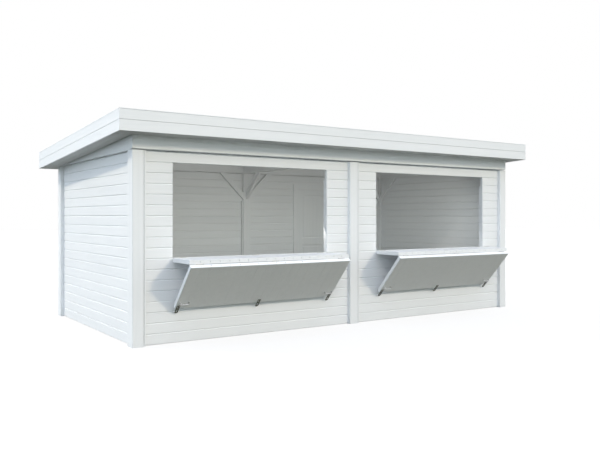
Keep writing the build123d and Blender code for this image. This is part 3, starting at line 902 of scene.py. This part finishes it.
def seen_directly(tree):
    """1 for rays that show a surface to the camera, straight or through gloss and glass."""
    path = tree.nodes.new("ShaderNodeLightPath")
    gloss = joined(tree, path.outputs["Is Camera Ray"], path.outputs["Is Glossy Ray"], "MAXIMUM")
    return joined(tree, gloss, path.outputs["Is Transmission Ray"], "MAXIMUM")


def pale_floor():
    """Floor that shows pale with the shadows on it, and sends little light back up."""
    material = bpy.data.materials.new("pale_floor")
    material.use_nodes = True
    tree = material.node_tree
    tree.nodes.clear()
    bounce = tree.nodes.new("ShaderNodeBsdfDiffuse")
    bounce.inputs["Color"].default_value = FLOOR_BOUNCE
    shadow = tree.nodes.new("ShaderNodeBsdfDiffuse")
    shadow.inputs["Color"].default_value = FLOOR_PAINT
    pale = mixed(tree, shadow, tree.nodes.new("ShaderNodeEmission"))
    pale.inputs["Fac"].default_value = FLOOR_GLOW_SHARE
    whole = mixed(tree, bounce, pale)
    tree.links.new(seen_directly(tree), whole.inputs["Fac"])
    output = tree.nodes.new("ShaderNodeOutputMaterial")
    tree.links.new(whole.outputs[0], output.inputs["Surface"])
    return material


def make_stage():
    """Wide pale floor under the hut."""
    mesh = bmesh.new()
    bmesh.ops.create_grid(mesh, x_segments=1, y_segments=1, size=FLOOR_HALF)
    data = bpy.data.meshes.new("floor")
    mesh.to_mesh(data)
    mesh.free()
    data.materials.append(pale_floor())
    floor = bpy.data.objects.new("floor", data)
    bpy.context.scene.collection.objects.link(floor)


def sky_colour(tree):
    """Sky that changes from before the front and right to behind the left and back, and overhead."""
    place = tree.nodes.new("ShaderNodeTexCoord")
    split = tree.nodes.new("ShaderNodeSeparateXYZ")
    tree.links.new(place.outputs["Generated"], split.inputs["Vector"])
    across = joined(tree, split.outputs["X"], split.outputs["Y"], "SUBTRACT")
    share = ranged(tree, across, (-1, 1), (0, 1))
    round_about = blended(tree, share, SKY_BEHIND_LEFT, SKY_BEFORE_FRONT)
    height = ranged(tree, split.outputs["Z"], (0, SKY_BAND), (0, 1))
    return blended(tree, height, round_about, SKY_OVERHEAD)


def place_lamp(lamp, heading, location=(0, 0, 0)):
    """A lamp that shines along a heading."""
    holder = bpy.data.objects.new(lamp.name, lamp)
    holder.location = location
    holder.rotation_euler = Vector(heading).to_track_quat("-Z", "Y").to_euler()
    bpy.context.scene.collection.objects.link(holder)
    return holder


def make_suns():
    """Three soft suns."""
    for name, values in (("front_sun", FRONT_SUN), ("fill_sun", FILL_SUN), ("side_sun", SIDE_SUN)):
        lamp = bpy.data.lights.new(name, "SUN")
        lamp.energy = values["strength"]
        lamp.angle = values["softness"]
        lamp.color = values["colour"]
        place_lamp(lamp, values["heading"])


def make_room_lamp():
    """Lamp that stands for the light inside, along the front wall from the left."""
    left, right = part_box("left_wall")[1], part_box("right_wall")[0]
    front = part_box("front_wall_below_hatches")[1]
    low, high = ROOM_LAMP_SPAN
    lamp = bpy.data.lights.new("room_lamp", "AREA")
    lamp.shape = "RECTANGLE"
    lamp.size = (right.x - left.x) * ROOM_LAMP_SHARE
    lamp.size_y = high - low
    lamp.energy = ROOM_LAMP_POWER
    lamp.color = ROOM_LAMP_COLOUR
    middle = (left.x + lamp.size / 2, front.y + ROOM_LAMP_SETBACK, (low + high) / 2)
    place_lamp(lamp, ROOM_LAMP_HEADING, middle).visible_camera = False


def make_sky():
    """Soft sky that lights the hut and shows as white."""
    world = bpy.data.worlds.new("studio")
    bpy.context.scene.world = world
    world.use_nodes = True
    tree = world.node_tree
    sky = tree.nodes["Background"]
    tree.links.new(sky_colour(tree), sky.inputs["Color"])
    backdrop = tree.nodes.new("ShaderNodeBackground")
    backdrop.inputs["Color"].default_value = BACKDROP_WHITE
    whole = mixed(tree, sky, backdrop)
    tree.links.new(seen_directly(tree), whole.inputs["Fac"])
    tree.links.new(whole.outputs[0], tree.nodes["World Output"].inputs["Surface"])


def make_camera():
    """The photograph's level view."""
    camera = bpy.data.cameras.new("photo_camera")
    camera.lens = CAMERA_LENS
    camera.sensor_width = CAMERA_SENSOR
    camera.shift_y = CAMERA_SHIFT
    viewer = bpy.data.objects.new("photo_camera", camera)
    viewer.location = CAMERA_PLACE
    viewer.rotation_euler = (math.pi / 2, 0, CAMERA_TURN)
    bpy.context.scene.collection.objects.link(viewer)
    bpy.context.scene.camera = viewer
    bpy.context.scene.view_settings.view_transform = "Standard"


make_walls()
make_strips()
make_hatches()
make_frame()
make_door()
make_roof()
make_fittings()
make_stage()
make_suns()
make_room_lamp()
make_sky()
make_camera()
